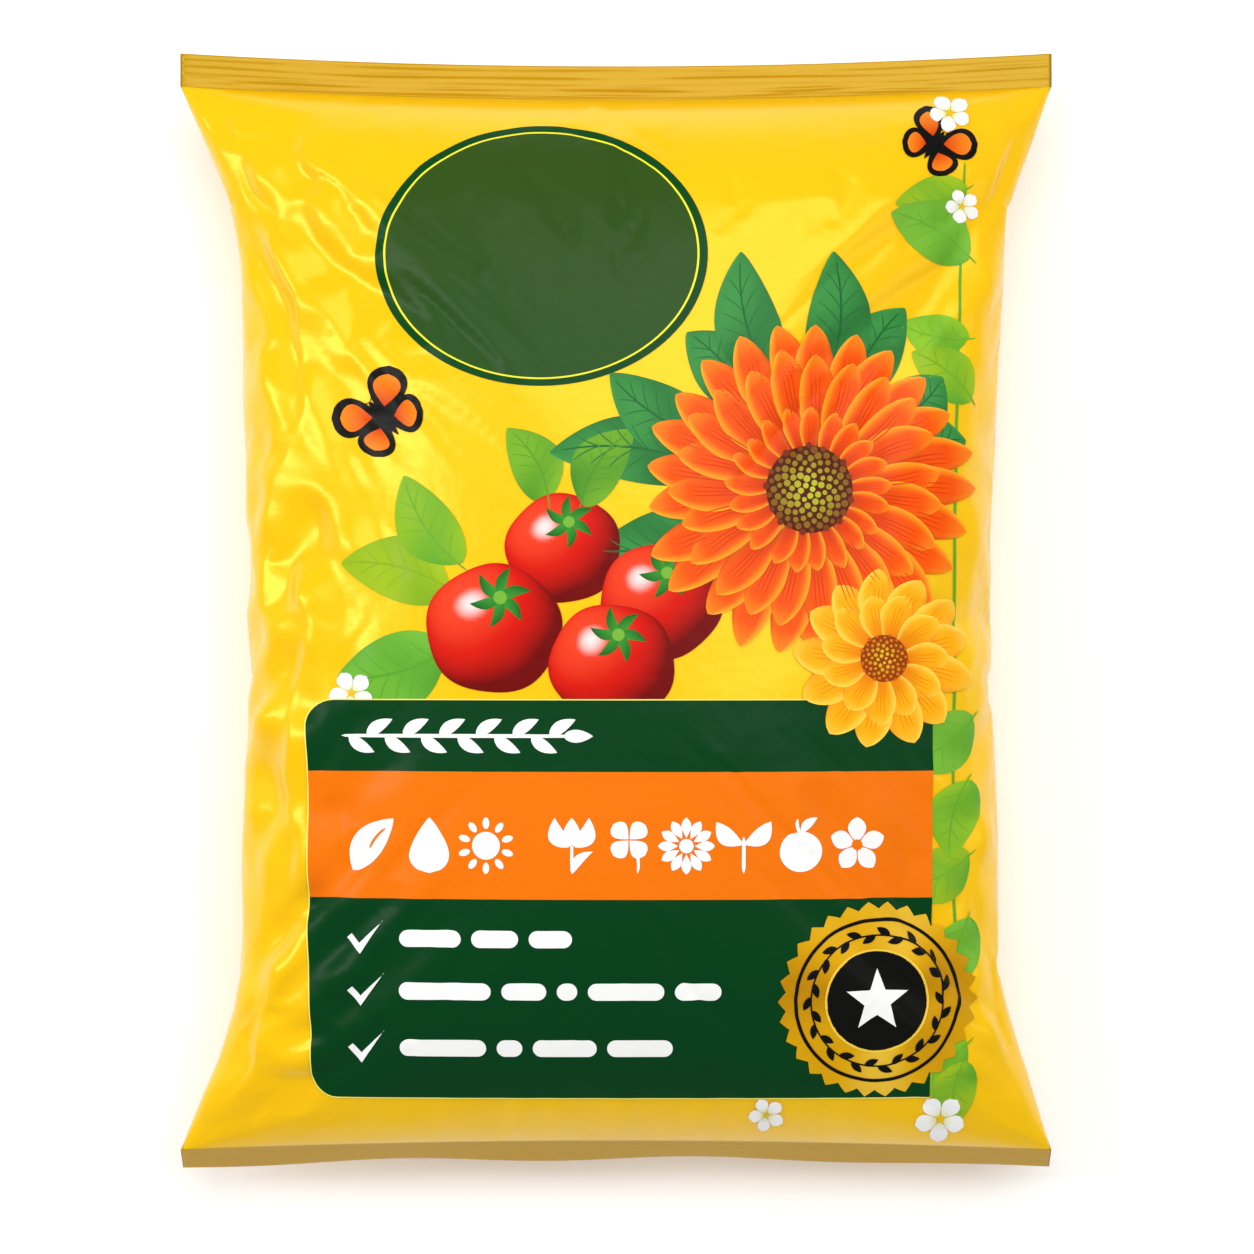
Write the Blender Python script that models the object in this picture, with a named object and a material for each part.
"""A sealed pillow bag of compost, lying on its back as it comes to rest.

The bag is one length of tubular film, filled and heat-sealed across both ends, so it is one closed
solid: a filled body that tapers to a straight seal at each end, with a flat fin of welded film beyond
each seal. Metres, +Z up. The origin is on the floor under the middle of the bag, +Y points to the
top seal, and +Z points out of the printed front.

At each station along the bag the cross-section is a superellipse above and below the film's fold.
Its half width follows the outline of the filled bag, and its depth is what the film has left: half
the girth stays equal to the lay-flat width at every station, because film doesn't stretch.
"""

import math

import bmesh
import bpy
import numpy as np

# Driving dimensions, in metres.
LAY_FLAT_WIDTH = 0.515       # the tube pressed flat, which is also the length of each seal
OVERALL_LENGTH = 0.660       # from fin edge to fin edge, measured in plan
BODY_HALF_WIDTH = 0.2205     # of the filled body, between its flared ends
FOLD_HEIGHT = 0.064          # of the side folds and the seals above the floor
FILM_DOUBLE = 0.0010         # two layers of welded film, with some body so that they hold together

TOP_FIN = 0.0195             # width of the welded band at the top, which lies level
BOTTOM_FIN = 0.0195          # the same at the bottom, where the band hangs down
BOTTOM_FIN_DROOP = math.radians(52)

TOP_FLARE = 0.092            # how far from the seal the body reaches its full form
BOTTOM_FLARE = 0.135
TOP_FLARE_POWER = 1.05       # near 1 is a straight flare, more is a curved one
BOTTOM_FLARE_POWER = 1.55

TOP_BOW = 0.0077             # how far the middle of each seal is drawn in by the fill
BOTTOM_BOW = 0.0053
BOW_REACH = 0.18             # how far from the seal the bow fades out

FRONT_SQUARENESS = 2.6       # superellipse exponents: the front is crowned,
BACK_SQUARENESS = 3.8        # and the back is pressed flat by the floor
FRONT_SWELL = 1.14           # the fill pushes the front crown out past the even section

# Grid of each face: stations along the bag, and points from fold to fold.
BODY_STATIONS = 44
FIN_STATIONS = 2
POINTS_ACROSS = 35
SEAL_CROWDING = 0.65         # 0 spaces the stations evenly, 1 crowds them most
SECTION_POINTS = 240         # fine points along a half section, before they are spaced out
HALVINGS = 40                # steps in the search for the film's depth

FILM_YELLOW = (1.0, 0.70, 0.01, 1.0)
FILM_ROUGHNESS = 0.3


def half_width(from_top, from_bottom):
    """Half width of the body: full in the middle, and widening to the seals by a power law."""
    flare = LAY_FLAT_WIDTH / 2 - BODY_HALF_WIDTH
    top = max(0.0, 1 - from_top / TOP_FLARE) ** TOP_FLARE_POWER
    bottom = max(0.0, 1 - from_bottom / BOTTOM_FLARE) ** BOTTOM_FLARE_POWER
    return BODY_HALF_WIDTH + flare * max(top, bottom)


def section(half, depth, squareness):
    """Points (x, height) of one superellipse half section, from the left fold to the right fold."""
    turn = np.linspace(math.pi, 0, SECTION_POINTS)
    x = half * np.sign(np.cos(turn)) * np.abs(np.cos(turn)) ** (2 / squareness)
    return x, depth * np.abs(np.sin(turn)) ** (2 / squareness)


def girth(x, height):
    """Length along a half section up to each of its points."""
    steps = np.hypot(np.diff(x), np.diff(height))
    return np.concatenate([[0.0], np.cumsum(steps)])


def film_depth(half, squareness):
    """The depth at which the half section is as long as the film is wide, found by halving."""
    low, high = 0.0, LAY_FLAT_WIDTH / 2
    for _ in range(HALVINGS):
        middle = (low + high) / 2
        if girth(*section(half, middle, squareness))[-1] < LAY_FLAT_WIDTH:
            low = middle
        else:
            high = middle
    return low


def spaced_section(half, squareness, swell=1.0):
    """The half section at evenly spaced distances along the film."""
    x, height = section(half, film_depth(half, squareness) * swell, squareness)
    along = girth(x, height)
    even = np.linspace(0, along[-1], POINTS_ACROSS)
    return np.interp(even, along, x), np.interp(even, along, height)


def arch(x, half):
    """The bow across a seal, which is 1 in the middle and 0 at both corners."""
    return 1 - (x / half) ** 2


def bow_share(distance):
    """How much of a seal's bow is left at a distance from it."""
    return max(0.0, 1 - distance / BOW_REACH) ** 2


def sheets(x, y, rise, fall):
    """Front and back points of one row, either side of the fold. The back goes no lower than the floor."""
    front = np.stack([x[0], y[0], FOLD_HEIGHT + FILM_DOUBLE / 2 + rise], 1)
    back = np.stack([x[1], y[1], np.maximum(FOLD_HEIGHT - FILM_DOUBLE / 2 - fall, 0.0)], 1)
    return front, back


def body_row(y, bottom_seal, top_seal):
    """One station of the filled body: a crowned front and a squarer back with the same folds."""
    half = half_width(top_seal - y, y - bottom_seal)
    front_x, rise = spaced_section(half, FRONT_SQUARENESS, FRONT_SWELL)
    back_x, fall = spaced_section(half, BACK_SQUARENESS)
    pull = BOTTOM_BOW * bow_share(y - bottom_seal) - TOP_BOW * bow_share(top_seal - y)
    rows = [y + pull * arch(x, half) for x in (front_x, back_x)]
    return sheets((front_x, back_x), rows, rise, fall)


def fin_row(seal, reach, droop, bow):
    """One row of a welded fin, at a signed distance out from its seal."""
    half = LAY_FLAT_WIDTH / 2
    x = np.linspace(-half, half, POINTS_ACROSS)
    y = seal + reach * math.cos(droop) + bow * arch(x, half)
    drop = np.full(POINTS_ACROSS, abs(reach) * math.sin(droop))
    return sheets((x, x), (y, y), -drop, drop)


def stations(bottom_seal, top_seal):
    """Where the rows of the body are. They crowd towards the seals, where the form changes fastest."""
    even = np.linspace(0, 1, BODY_STATIONS)
    crowded = (1 - np.cos(math.pi * even)) / 2
    share = SEAL_CROWDING * crowded + (1 - SEAL_CROWDING) * even
    return bottom_seal + share * (top_seal - bottom_seal)


def face_rows():
    """Rows of front and back points, from the bottom fin's edge to the top fin's edge."""
    bottom_seal = -OVERALL_LENGTH / 2 + BOTTOM_FIN * math.cos(BOTTOM_FIN_DROOP)
    top_seal = OVERALL_LENGTH / 2 - TOP_FIN
    outwards = np.arange(1, FIN_STATIONS + 1) / FIN_STATIONS
    rows = [fin_row(bottom_seal, -BOTTOM_FIN * out, BOTTOM_FIN_DROOP, BOTTOM_BOW) for out in outwards[::-1]]
    rows += [body_row(y, bottom_seal, top_seal) for y in stations(bottom_seal, top_seal)]
    rows += [fin_row(top_seal, TOP_FIN * out, 0.0, -TOP_BOW) for out in outwards]
    front, back = zip(*rows)
    return front, back


def film_material():
    """Glossy yellow polythene."""
    material = bpy.data.materials.new("yellow_film")
    material.use_nodes = True
    shader = material.node_tree.nodes["Principled BSDF"]
    shader.inputs["Base Color"].default_value = FILM_YELLOW
    shader.inputs["Roughness"].default_value = FILM_ROUGHNESS
    return material


def fill(shape, sheet, upwards):
    """The faces between the rows of one sheet, turned up or down."""
    for near, far in zip(sheet, sheet[1:]):
        for i in range(POINTS_ACROSS - 1):
            corners = (near[i], near[i + 1], far[i + 1], far[i])
            shape.faces.new(corners if upwards else corners[::-1])


def outline(sheet):
    """The points round the edge of one sheet, in order."""
    right = [row[-1] for row in sheet[1:-1]]
    left = [row[0] for row in sheet[-2:0:-1]]
    return [*sheet[0], *right, *sheet[-1][::-1], *left]


def build_bag():
    """One closed solid: the front sheet, the back sheet, and the narrow rim that joins them."""
    shape = bmesh.new()
    top_sheet, under_sheet = [
        [[shape.verts.new(point) for point in row] for row in rows] for rows in face_rows()
    ]
    fill(shape, top_sheet, True)
    fill(shape, under_sheet, False)
    upper, lower = outline(top_sheet), outline(under_sheet)
    for i in range(len(upper)):
        j = (i + 1) % len(upper)
        shape.faces.new((upper[j], upper[i], lower[i], lower[j]))
    mesh = bpy.data.meshes.new("compost_bag")
    shape.to_mesh(mesh)
    shape.free()
    mesh.shade_smooth()
    mesh.materials.append(film_material())
    bag = bpy.data.objects.new("compost_bag", mesh)
    bpy.context.scene.collection.objects.link(bag)
    return bag


def main():
    for old in list(bpy.data.objects):
        bpy.data.objects.remove(old)
    build_bag()


main()
